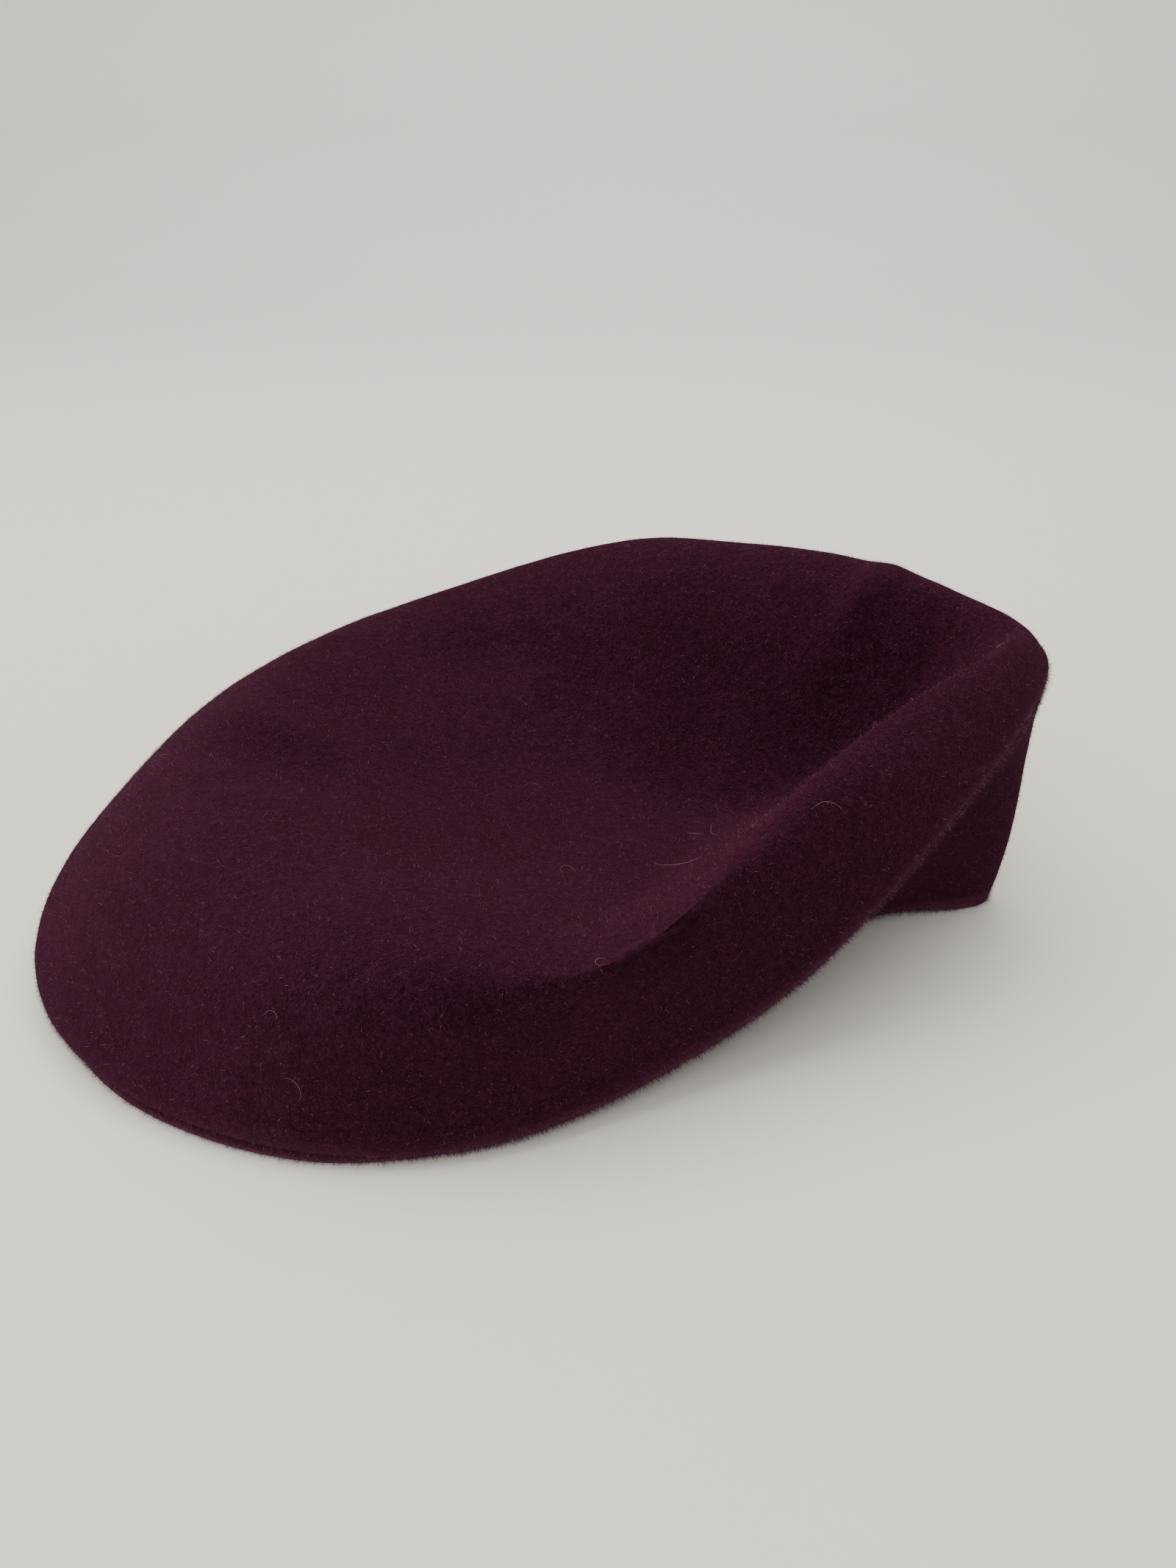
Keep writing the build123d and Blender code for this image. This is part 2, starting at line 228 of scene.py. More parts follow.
class Signal:
    def __init__(self, recipe, socket):
        self.recipe, self.socket = recipe, socket

    def maths(self, operation, other, flipped=False):
        pair = (other, self) if flipped else (self, other)
        return self.recipe.add("ShaderNodeMath", {"operation": operation}, {0: pair[0], 1: pair[1]})

    def __add__(self, other):
        return self.maths("ADD", other)

    def __radd__(self, other):
        return self.maths("ADD", other, True)

    def __sub__(self, other):
        return self.maths("SUBTRACT", other)

    def __mul__(self, other):
        return self.maths("MULTIPLY", other)

    def __rmul__(self, other):
        return self.maths("MULTIPLY", other, True)


class Recipe:
    def __init__(self, name, **fixed):
        self.material = bpy.data.materials.new(name)
        self.material.use_nodes = True
        self.tree = self.material.node_tree
        self.shader = self.tree.nodes["Principled BSDF"]
        for socket, value in fixed.items():
            self.shader.inputs[socket.replace("_", " ")].default_value = value

    def add(self, kind, settings=None, inputs=None, output=0):
        node = self.tree.nodes.new(kind)
        for key, value in (settings or {}).items():
            if key == "stops":
                while len(node.color_ramp.elements) < len(value):
                    node.color_ramp.elements.new(0.5)
                for element, (place, shade) in zip(node.color_ramp.elements, value):
                    element.position = place
                    element.color = shade if isinstance(shade, tuple) else (shade, shade, shade, 1)
            else:
                setattr(node, key, value)
        for key, value in (inputs or {}).items():
            if isinstance(value, Signal):
                self.tree.links.new(value.socket, node.inputs[key])
            else:
                node.inputs[key].default_value = value
        return Signal(self, node.outputs[output])

    def feed(self, socket, signal):
        self.tree.links.new(signal.socket, self.shader.inputs[socket])

    def place(self):
        return self.add("ShaderNodeTexCoord", output="Object")

    def surface(self):
        return self.add("ShaderNodeUVMap", {"uv_map": "UVMap"})

    def cloud(self, where, scale, detail=2.0, roughness=0.5, distortion=0.0):
        return self.add("ShaderNodeTexNoise", {}, {"Vector": where, "Scale": scale, "Detail": detail,
                                                   "Roughness": roughness, "Distortion": distortion})

    def ramp(self, signal, *stops):
        return self.add("ShaderNodeValToRGB", {"stops": stops}, {0: signal})

    def mix(self, factor, a, b, blend="MIX"):
        return self.add("ShaderNodeMix", {"data_type": "RGBA", "blend_type": blend}, {0: factor, 6: a, 7: b}, 2)

    def bump(self, height, strength, distance):
        return self.add("ShaderNodeBump", {}, {"Height": height, "Strength": strength, "Distance": distance})


def feltMaterial():
    deep, mid, light = felt["deep"], felt["mid"], felt["light"]
    recipe = Recipe("wineFelt", Roughness=0.95, Sheen_Weight=felt["sheen"], Sheen_Roughness=0.45,
                    Sheen_Tint=(0.80, 0.16, 0.38, 1), Specular_IOR_Level=0.04)
    where = recipe.place()
    broad = recipe.cloud(where, 30, 2)
    patch = recipe.cloud(where, 240, 3, 0.6)
    nap = recipe.cloud(where, 780, 3, 0.65, 1.0)
    fibre = recipe.cloud(where, 2400, 2, 0.6, 3.0)
    edgeHighlight = recipe.add("ShaderNodeAttribute", {"attribute_name": "foldWear"}, output="Fac")
    tone = recipe.ramp(nap * 0.55 + fibre * 0.2 + patch * 0.15 + broad * 0.1,
                       (0.42, deep), (0.50, mid), (0.58, light))
    fleck = recipe.ramp(fibre, (0.62, 0.0), (0.74, 1.0))
    coat = recipe.mix(fleck * 0.5, tone, (light[0] * 2.0, light[1] * 2.6, light[2] * 2.0, 1))
    # painted highlight: the pale colour is mixed in along the lower edge of the fold and at the free edge
    coat = recipe.mix(edgeHighlight * (0.45 + 0.6 * nap), coat, felt["edgeHighlight"])
    recipe.feed("Base Color", coat)
    recipe.feed("Normal", recipe.bump(nap * 0.8 + fibre * 0.3 + patch * 0.6, 1.0, 0.0013))
    return recipe.material


def plainMaterial(name, colour, roughness, sheen=0.0):
    return Recipe(name, Base_Color=colour, Roughness=roughness, Sheen_Weight=sheen, Sheen_Roughness=0.5,
                  Sheen_Tint=(0.80, 0.20, 0.42, 1), Specular_IOR_Level=0.06).material


def ribbedMaterial(name, dark, light, ribs, gloss, sheen=0.25):
    # cross ribs run over the width, so the pattern follows the ribbon's own length
    recipe = Recipe(name, Roughness=0.6, Sheen_Weight=sheen, Sheen_Roughness=0.35, Specular_IOR_Level=0.35)
    where = recipe.surface()
    rib = recipe.add("ShaderNodeTexWave", {"wave_type": "BANDS", "bands_direction": "X"},
                     {"Vector": where, "Scale": ribs, "Distortion": 0.4, "Detail": 1.0, "Detail Scale": 0.6}, 1)
    thread = recipe.add("ShaderNodeTexWave", {"wave_type": "BANDS", "bands_direction": "Y"},
                        {"Vector": where, "Scale": ribs * 2.6, "Distortion": 0.3}, 1)
    dust = recipe.cloud(where, 300, 3, 0.6)
    tone = recipe.mix(rib * 0.7 + dust * 0.3, dark, light)
    recipe.feed("Base Color", tone)
    recipe.feed("Roughness", gloss + dust * 0.2 - rib * 0.1)
    recipe.feed("Normal", recipe.bump(rib * 0.8 + thread * 0.2, 0.9, 0.00022))
    return recipe.material


def satinMaterial(name, dark, light, threads, gloss):
    recipe = Recipe(name, Roughness=0.4, Specular_IOR_Level=0.5, Sheen_Weight=0.2, Sheen_Roughness=0.3)
    where = recipe.surface()
    weft = recipe.add("ShaderNodeTexWave", {"wave_type": "BANDS", "bands_direction": "Y"},
                      {"Vector": where, "Scale": threads, "Distortion": 0.6, "Detail": 1.0}, 1)
    warp = recipe.add("ShaderNodeTexWave", {"wave_type": "BANDS", "bands_direction": "X"},
                      {"Vector": where, "Scale": threads * 1.5, "Distortion": 0.6, "Detail": 1.0}, 1)
    age = recipe.cloud(where, 90, 3, 0.6)
    recipe.feed("Base Color", recipe.mix(weft * 0.35 + warp * 0.15 + age * 0.5, dark, light))
    recipe.feed("Roughness", gloss + age * 0.2)
    recipe.feed("Normal", recipe.bump(weft * 0.6 + warp * 0.4, 0.6, 0.00012))
    return recipe.material


def dress(piece, material):
    piece.data.materials.clear()
    piece.data.materials.append(material)


def makeFelt():
    a, b, c, d = felt["outerSteps"]
    outerWays = np.concatenate([np.linspace(0, 1, a)[:-1], np.linspace(1, 2, b)[:-1],
                                np.linspace(2, 3, c)[:-1], np.linspace(3, 4, d)])
    a, b, c = felt["innerSteps"]
    innerWays = np.concatenate([np.linspace(4, 3, a), np.linspace(3, 2, b)[1:], np.linspace(2, 0, c)[1:]])
    lipAngles = np.linspace(0, np.pi, felt["lipSteps"])[1:-1]
    ways = np.concatenate([outerWays, np.full(len(lipAngles), 4.0), innerWays])
    t = felt["thickness"]
    depths = np.concatenate([np.zeros(len(outerWays)), t / 2 - t / 2 * np.cos(lipAngles),
                             np.full(len(innerWays), t)])
    pushes = np.concatenate([np.zeros(len(outerWays)), t * 0.28 * np.sin(lipAngles),
                             np.zeros(len(innerWays))])
    mesh, column, row = addGrid(felt["turns"], len(ways) - 1)
    turn = (column % felt["turns"]) * count / felt["turns"]
    way = ways[row]
    point, around, down, inner = frameAt(np.maximum(way, 1e-4), turn)
    depth = depths[row][:, None]
    outer = 1 - np.clip(depth / t, 0, 1)[:, 0]
    # the second layer that shows below the fold at the flat end
    near = np.exp(-(turn - felt["lipTurn"]) ** 4)
    folded = (way > 2.3) & (way < 3.02)
    lip = felt["lip"] * np.exp(-((point[:, 2] - felt["lipRise"]) / 0.85) ** 2)
    groove = felt["lipGroove"] * np.exp(-((point[:, 2] - felt["grooveRise"]) / 0.5) ** 2)
    aim = -inner.copy()
    aim[:, 2] = 0
    aim = aim / np.maximum(np.linalg.norm(aim, axis=1, keepdims=True), 0.2)
    shift = (near * folded * (lip - groove) * (outer > 0.5))[:, None] * aim
    points = point + inner * depth + down * pushes[row][:, None] + shift
    base = placed(points)
    lumps = np.zeros(len(base))
    for often, high in felt["lumps"]:
        lumps += high * np.array([noise.noise(Vector(p) * often) for p in base])
    calm = np.clip((point[:, 2] - 1.5) / 3, 0, 1)  # no lumps where it rests on the table
    base = base - inner * (lumps * calm * outer)[:, None] * mm
    pole = way < 1e-6
    base[pole] = np.where(outer[pole][:, None] > 0.5, placed(np.array(felt["dishFloor"])),
                          placed(np.array(felt["dishFloor"]) - np.array([0, 0, t])))
    base[:, 2] = np.maximum(base[:, 2], 0.0)
    layPoints(mesh, base)
    # painted highlight mask, strongest on the lower edge of the fold and at the free edge, taken out again in the
    # groove under the lip at the flat end
    edgeHighlight = np.exp(-((way - 2.78) / 0.27) ** 2) * outer + np.exp(-((way - 4) / 0.04) ** 2)
    holder = mesh.attributes.new("foldWear", "FLOAT", "POINT")
    edgeHighlight = edgeHighlight * (1 - 0.95 * near * folded * np.exp(-((point[:, 2] - 2.5) / 0.8) ** 2))
    holder.data.foreach_set("value", np.clip(edgeHighlight, 0, 1))
    mesh.attributes.new("outside", "FLOAT", "POINT").data.foreach_set("value", outer)
    closeSkin()
    piece = newPiece("felt", "beret", "felt_body", "felt_body")
    dress(piece, feltMaterial())
    return piece


fuzz = {
    "coats": [(49000, (0.009, 0.0012, 0.0055, 1)), (49000, (0.021, 0.0028, 0.0110, 1)),
              (49000, (0.042, 0.0075, 0.0215, 1)), (49000, (0.076, 0.0180, 0.0400, 1)),
              (34000, (0.150, 0.0540, 0.0850, 1)), (9000, (0.330, 0.1900, 0.2300, 1))],  # how many, colour
    "length": (0.7, 2.2), "thick": 0.045, "sunk": 0.12, "lean": (22, 80), "seed": 7,  # mm and degrees
}
looseFibres = {"count": 18, "length": (5, 17), "thick": 0.036, "beads": 15, "seed": 11,
               "colour": (0.30, 0.17, 0.20, 1)}


def makeFuzz(source):
    # fine loose ends of wool all over the outside: each is a closed spike of four small faces
    mesh = source.data
    faces = len(mesh.polygons)
    centre, normal, area = np.empty(faces * 3), np.empty(faces * 3), np.empty(faces)
    mesh.polygons.foreach_get("center", centre)
    mesh.polygons.foreach_get("normal", normal)
    mesh.polygons.foreach_get("area", area)
    corners = np.empty(len(mesh.vertices) * 3)
    mesh.vertices.foreach_get("co", corners)
    corners = corners.reshape(-1, 3)
    edgeHighlight = np.empty(len(mesh.vertices))
    mesh.attributes["foldWear"].data.foreach_get("value", edgeHighlight)
    outside = np.empty(len(mesh.vertices))
    mesh.attributes["outside"].data.foreach_get("value", outside)
    loops = [list(p.vertices) for p in mesh.polygons]
    quad = np.array([l if len(l) == 4 else l + [l[-1]] for l in loops])
    centre, normal = centre.reshape(-1, 3), normal.reshape(-1, 3)
    weight = area * (outside[quad].mean(1) > 0.3) * (1 + 1.2 * edgeHighlight[quad].mean(1))
    weight = weight * np.where(centre[:, 2] < 0.0006, 0, 1)
    weight /= weight.sum()
    chance = np.random.default_rng(fuzz["seed"])
    for coat, (n, colour) in enumerate(fuzz["coats"]):
        # painted highlight: the three paler coats gather where the highlight mask is strong, so the fold edge looks
        # lit
        share = weight * (1 + 3.0 * (coat > 2) * edgeHighlight[quad].mean(1))
        pick = chance.choice(faces, n, p=share / share.sum())
        u, v = chance.random((n, 1)), chance.random((n, 1))
        q = corners[quad[pick]]
        root = (q[:, 0] * (1 - u) + q[:, 1] * u) * (1 - v) + (q[:, 3] * (1 - u) + q[:, 2] * u) * v
        up = normal[pick]
        side = unit(np.cross(up, chance.normal(size=(n, 3))))
        other = np.cross(up, side)
        lean = np.radians(chance.uniform(*fuzz["lean"], (n, 1)))
        reach = chance.uniform(*fuzz["length"], (n, 1)) * mm
        reach = reach * (0.75 + 0.5 * edgeHighlight[quad[pick]].mean(1)[:, None])
        tip = root + (up * np.cos(lean) + side * np.sin(lean)) * reach
        tip[:, 2] = np.maximum(tip[:, 2], 0.0001)
        wide = fuzz["thick"] * mm
        base = root - up * fuzz["sunk"] * mm
        ring = [base + wide * (side * math.cos(a) + other * math.sin(a)) for a in thirds]
        points = np.stack(ring + [tip], 1).reshape(-1, 3)
        points[:, 2] = np.maximum(points[:, 2], 0)
        start = np.arange(n)[:, None] * 4
        sides = ((0, 2, 1), (0, 1, 3), (1, 2, 3), (2, 0, 3))
        triangles = np.concatenate([start + np.array([f]) for f in sides], 1)
        hair = bpy.data.meshes.new("fuzz")
        hair.vertices.add(len(points))
        hair.vertices.foreach_set("co", points.ravel())
        hair.loops.add(n * 12)
        hair.loops.foreach_set("vertex_index", triangles.reshape(-1).astype(np.int32))
        hair.polygons.add(n * 4)
        hair.polygons.foreach_set("loop_start", np.arange(0, n * 12, 3, dtype=np.int32))
        hair.update(calc_edges=True)
        piece = bpy.data.objects.new("feltFuzz%d" % (coat + 1), hair)
        bpy.context.collection.objects.link(piece)
        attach(piece, "beret")
        dress(piece, plainMaterial("woolFuzz%d" % (coat + 1), colour, 0.8, 0.12))


def makeLooseFibres(source):
    # a few long pale fibres that curl on the nap
    mesh = source.data
    chance = np.random.default_rng(looseFibres["seed"])
    tops = [p for p in mesh.polygons if p.normal.z > 0.35 and p.center.z > 0.02]
    beads = looseFibres["beads"]
    last = beads - 1
    points, faces = [], []
    for k in range(looseFibres["count"]):
        patch = tops[int(chance.integers(len(tops)))]
        up = np.array(patch.normal)
        side = unit(np.cross(up, chance.normal(size=3)))
        other = np.cross(up, side)
        length = chance.uniform(*looseFibres["length"]) * mm
        heading = chance.uniform(0, 6.28)
        here = np.array(patch.center) + up * 0.0003
        curl = chance.normal() * 0.25
        path = []
        for step in range(beads):
            path.append(here.copy())
            heading += curl + chance.normal() * 0.16
            here = here + (side * math.cos(heading) + other * math.sin(heading)) * length / last
            spot, facing = source.closest_point_on_mesh(Vector(here))[1:3]
            here = np.array(spot) + np.array(facing) * (0.00025 + 0.00035 * math.sin(step / last * 3.1))
        for i, spot in enumerate(path):
            ahead = unit(np.array(path[min(i + 1, last)]) - np.array(path[max(i - 1, 0)]))
            a = unit(np.cross(ahead, up))
            b = np.cross(ahead, a)
            wide = looseFibres["thick"] * mm * (0.35 + 0.65 * math.sin(math.pi * (i + 0.6) / (beads + 0.2)))
            points += [spot + wide * (a * math.cos(t) + b * math.sin(t)) for t in thirds]
        first = k * 3 * beads
        faces.append((first, first + 1, first + 2))
        for i in range(last):
            for j in range(3):
                a, b = first + 3 * i + j, first + 3 * i + (j + 1) % 3
                faces.append((b, a, a + 3, b + 3))
        end = first + 3 * beads - 1
        faces.append((end, end - 1, end - 2))
    thread = bpy.data.meshes.new("looseFibres")
    thread.from_pydata([tuple(p) for p in points], [], faces)
    thread.update()
    piece = bpy.data.objects.new("looseFibres", thread)
    bpy.context.collection.objects.link(piece)
    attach(piece, "beret")
    dress(piece, plainMaterial("paleFibre", looseFibres["colour"], 0.7))
    bpy.context.view_layer.objects.active = piece
    piece.select_set(True)
    bpy.ops.object.mode_set(mode="EDIT")
    bpy.ops.mesh.select_all(action="SELECT")
    bpy.ops.mesh.normals_make_consistent(inside=False)
    bpy.ops.object.mode_set(mode="OBJECT")
    bpy.ops.object.select_all(action="DESELECT")


print("felt")
feltPiece = makeFelt()
print("fuzz")
makeFuzz(feltPiece)
makeLooseFibres(feltPiece)

ribbon = {
    "height": 24.0, "thickness": 0.6, "rise": 2.5, "join": 4.5, "gap": 0.25, "steps": 640,
    "dark": (0.012, 0.0035, 0.0065, 1), "light": (0.040, 0.013, 0.023, 1), "ribs": 230, "gloss": 0.48,
}
ribbonFace = felt["thickness"] + ribbon["gap"] + ribbon["thickness"]


def makeBand(firstTurn, lastTurn, low, high, near, far, steps, ripple=0.0, rows=9):
    # a closed band that follows the wall, with rounded edges; its UV map is in metres
    side = rows + 2
    mesh, column, row = addGrid(2 * side, steps)
    turns = np.linspace(firstTurn, lastTurn, steps + 1)
    rises = np.concatenate([[low], np.linspace(low + 0.15, high - 0.15, rows), [high]])
    grid = np.empty((steps + 1, 2 * side + 1, 3))
    along = np.zeros(steps + 1)
    for i, turn in enumerate(turns):
        ways = wayUp(turn, rises)
        point, around, down, inner = frameAt(ways, np.full(side, turn))
        thin = np.ones(side)
        thin[0] = thin[-1] = 0.55
        middle = (near + far) / 2
        wave = ripple * math.sin(i * 2.1) * np.sin(np.linspace(0, 6, side) + i)
        front = point + inner * (middle + (far - near) / 2 * thin + wave)[:, None]
        back = point + inner * (middle - (far - near) / 2 * thin)[:, None]
        grid[i, :side], grid[i, side:2 * side], grid[i, 2 * side] = front, back[::-1], front[0]
        if i:
            along[i] = along[i - 1] + np.linalg.norm(grid[i, side // 2] - grid[i - 1, side // 2])
    layPoints(mesh, placed(grid[row, column]))
    heights = np.concatenate([rises, rises[::-1], rises[:1]])
    holder = mesh.uv_layers.new(name="UVMap") if not mesh.uv_layers else mesh.uv_layers[0]
    holder.name = "UVMap"
    corner = np.empty(len(mesh.loops), dtype=np.int32)
    mesh.loops.foreach_get("vertex_index", corner)
    holder.data.foreach_set("uv", (np.stack([along[row[corner]], heights[column[corner]]], 1) * mm).ravel())
    bpy.ops.object.mode_set(mode="EDIT")
    bpy.ops.mesh.select_all(action="SELECT")
    bpy.ops.mesh.remove_doubles(threshold=0.000001)
    bpy.ops.mesh.select_all(action="DESELECT")
    bpy.ops.mesh.select_non_manifold(extend=False)
    bpy.ops.mesh.edge_face_add()
    bpy.ops.mesh.select_all(action="SELECT")
    bpy.ops.mesh.normals_make_consistent(inside=False)
    bpy.ops.object.mode_set(mode="OBJECT")
    bpy.ops.object.shade_smooth_by_angle(angle=math.radians(50))
    return along[-1]


print("sweatband")
ribbonMaterial = ribbedMaterial("grosgrain", ribbon["dark"], ribbon["light"], ribbon["ribs"], ribbon["gloss"])
ribbonTop = ribbon["rise"] + ribbon["height"]
ribbonLength = makeBand(ribbon["join"] + 0.01, ribbon["join"] + count - 0.01, ribbon["rise"], ribbonTop,
                        felt["thickness"] + ribbon["gap"], ribbonFace, ribbon["steps"])
sweatband = newPiece("sweatbandRibbon", "beret", "sweatband", "sweatband")
dress(sweatband, ribbonMaterial)

seam = {"pitch": 7.0, "length": 3.4, "width": 0.7, "height": 0.45, "rise": 4.0, "lift": 0.16,
        "dark": (0.05, 0.012, 0.025, 1), "light": (0.13, 0.04, 0.07, 1)}


def makeStitches(name, frames, length, width, height, body, slotName, material, *nodes):
    # one stitch is modelled, two twisted plies sunk at both ends, and copied to every place
    bpy.ops.mesh.primitive_cylinder_add(vertices=8, radius=1, depth=2, end_fill_type="TRIFAN")
    bpy.ops.object.mode_set(mode="EDIT")
    bpy.ops.mesh.select_all(action="SELECT")
    bpy.ops.mesh.normals_make_consistent(inside=False)
    start = bpy.context.object
    for cut in np.linspace(-0.88, 0.88, 9):
        bpy.ops.mesh.select_all(action="SELECT")
        bpy.ops.mesh.bisect(plane_co=(0, 0, float(cut)), plane_no=(0, 0, 1))
    bpy.ops.object.mode_set(mode="OBJECT")
    source = np.array([v.co[:] for v in start.data.vertices])
    faces = [tuple(p.vertices) for p in start.data.polygons]
    bpy.data.objects.remove(start)
    bpy.ops.object.select_all(action="DESELECT")
    t = source[:, 2]
    belly = np.sqrt(np.clip(1 - 0.96 * t ** 4, 0.03, 1))
    about = np.arctan2(source[:, 1], source[:, 0])
    plies = 1 + 0.22 * np.cos(2 * (about + t * 2.6))
    radius = np.hypot(source[:, 0], source[:, 1]) * plies * belly
    local = np.stack([t * length / 2, radius * np.cos(about) * width / 2,
                      radius * np.sin(about) * height / 2 - 0.30 * height * t ** 4], 1) * mm
    points, allFaces = [], []
    for k, (place, x, y, z) in enumerate(frames):
        points.append(place + local @ np.array([x, y, z]))
        allFaces += [tuple(i + k * len(local) for i in f) for f in faces]
    mesh = bpy.data.meshes.new(name)
    mesh.from_pydata([tuple(p) for p in np.concatenate(points)], [], allFaces)
    mesh.update()
    piece = bpy.data.objects.new(name, mesh)
    bpy.context.collection.objects.link(piece)
    bpy.context.view_layer.objects.active = piece
    piece.select_set(True)
    bpy.ops.object.mode_set(mode="EDIT")
    bpy.ops.mesh.select_all(action="SELECT")
    bpy.ops.mesh.normals_make_consistent(inside=False)
    bpy.ops.object.mode_set(mode="OBJECT")
    bpy.ops.object.shade_smooth()
    piece = newPiece(name, body, slotName, *nodes)
    dress(piece, material)


def threadMaterial(name, dark, light):
    recipe = Recipe(name, Roughness=0.55, Sheen_Weight=0.3, Sheen_Roughness=0.4)
    twist = recipe.add("ShaderNodeTexWave", {"wave_type": "BANDS", "bands_direction": "DIAGONAL"},
                       {"Vector": recipe.place(), "Scale": 900.0, "Distortion": 1.0}, 1)
    recipe.feed("Base Color", recipe.mix(twist, dark, light))
    recipe.feed("Normal", recipe.bump(twist, 0.6, 0.0001))
    return recipe.material


print("stitches")
seamTurns = [ribbon["join"] + 0.08]
while seamTurns[-1] < ribbon["join"] + count - 0.25:
    seamTurns.append(turnAlong(seamTurns[-1], seam["rise"], seam["pitch"]))
seamFrames = [wallFrame(turn, seam["rise"], ribbonFace + seam["lift"]) for turn in seamTurns]
makeStitches("sweatbandSeam", seamFrames, seam["length"], seam["width"], seam["height"], "beret",
             "sweatband_stitches", threadMaterial("wineThread", seam["dark"], seam["light"]), "sweatband_stitches")

print("labels")
label = {"rise": 7.0, "height": 15.0, "width": 42.0, "turn": 5.62, "thickness": 0.4, "steps": 60, "ripple": 0.02,
         "dark": (0.30, 0.25, 0.17, 1), "light": (0.52, 0.46, 0.35, 1), "threads": 420, "gloss": 0.32}
labelEnds = {"stitches": 4, "pitch": 3.6, "rise": 2.1, "inset": 1.6, "lift": 0.1, "length": 2.4, "width": 0.5,
             "height": 0.35, "dark": (0.35, 0.28, 0.18, 1), "light": (0.6, 0.5, 0.36, 1)}
labelFirst = turnAlong(label["turn"], label["rise"], -label["width"] / 2)
labelLast = turnAlong(label["turn"], label["rise"], label["width"] / 2)
labelNear = ribbonFace + ribbon["gap"]
labelFace = labelNear + label["thickness"]
labelLength = makeBand(labelFirst, labelLast, label["rise"], label["rise"] + label["height"],
                       labelNear, labelFace, label["steps"], label["ripple"], 11)
wovenLabel = newPiece("wovenLabel", "beret", "woven_label", "woven_label")
dress(wovenLabel, satinMaterial("wovenSatin", label["dark"], label["light"], label["threads"], label["gloss"]))
endFrames = []
for end, inset in ((labelFirst, labelEnds["inset"]), (labelLast, -labelEnds["inset"])):
    turn = turnAlong(end, label["rise"], inset)
    for k in range(labelEnds["stitches"]):
        rise = label["rise"] + labelEnds["rise"] + labelEnds["pitch"] * k
        place, x, y, z = wallFrame(turn, rise, labelFace + labelEnds["lift"])
        endFrames.append((place, y, -x, z))
paleThread = threadMaterial("paleThread", labelEnds["dark"], labelEnds["light"])
makeStitches("labelStitches", endFrames, labelEnds["length"], labelEnds["width"], labelEnds["height"], "beret",
             "label_stitches", paleThread, "label_stitches")

bow = {"length": 44.0, "ribbon": 9.0, "depth": 2.6, "lift": 2.2, "layer": 0.42, "rise": 12.0,
       "knotWidth": 6.0, "knotHeight": 7.0}
bowPlace, bowX, bowY, bowZ = wallFrame(ribbon["join"], ribbon["rise"] + bow["rise"], ribbonFace + bow["lift"])


def fromBow(local):
    return bowPlace + (local @ np.array([bowX, bowY, bowZ])) * mm


def thicken(thickness, bevel=0.08):
    piece = bpy.context.object
    wall = piece.modifiers.new("wall", "SOLIDIFY")
    wall.thickness = thickness * mm
    wall.offset = 0.0
    bpy.ops.object.modifier_apply(modifier="wall")
    soft = piece.modifiers.new("soft", "BEVEL")
    soft.width = bevel * mm
    soft.segments = 2
    soft.angle_limit = math.radians(50)
    bpy.ops.object.modifier_apply(modifier="soft")
    bpy.ops.object.shade_smooth_by_angle(angle=math.radians(50))


def gridUv(mesh, column, row, alongStep, acrossStep):
    holder = mesh.uv_layers[0] if mesh.uv_layers else mesh.uv_layers.new(name="UVMap")
    holder.name = "UVMap"
    corner = np.empty(len(mesh.loops), dtype=np.int32)
    mesh.loops.foreach_get("vertex_index", corner)
    holder.data.foreach_set("uv", (np.stack([row[corner] * alongStep, column[corner] * acrossStep], 1) * mm).ravel())


def makeBowLoops():
    # one ribbon that leaves the knot, turns back at the end of each loop and returns behind it
    along, across = 160, 12
    mesh, column, row = addGrid(across, along)
    a = row / along * 4 * np.pi
    side = np.where(a < 2 * np.pi, -1, 1)
    turn = a % (2 * np.pi)
    turn = np.where((row == along) | (row == along // 2), 2 * np.pi, turn)
    turn = np.where(row == 0, 0, turn)
    out = (1 - np.cos(turn)) / 2
    x = side * out * (bow["length"] / 2 - 0.4)
    swell = np.sin(turn) * np.sqrt(np.clip(out, 0, 1)) * (bow["depth"] / 2 - 0.3)
    y = (column / across - 0.5) * bow["ribbon"] * (0.50 + 0.50 * np.clip(out * 2.1, 0, 1) ** 0.7)
    pleat = 0.16 * np.cos(column / across * 5 * np.pi) * np.exp(-(out / 0.22) ** 2)
    z = bow["depth"] / 2 + swell + pleat + 0.25 * np.sign(np.sin(turn) + 1e-9) * np.clip(out * 9, 0, 1)
    z = np.where(out < 0.02, bow["depth"] / 2 + pleat + 0.3 * np.where(turn > 3, -1, 1), z)
    layPoints(mesh, fromBow(np.stack([x, y, z], 1)))
    gridUv(mesh, column, row, 2 * bow["length"] / along, bow["ribbon"] / across)
    thicken(bow["layer"])
    dress(newPiece("bowLoops", "beret", "bow_loops", "bow_loops"), ribbonMaterial)


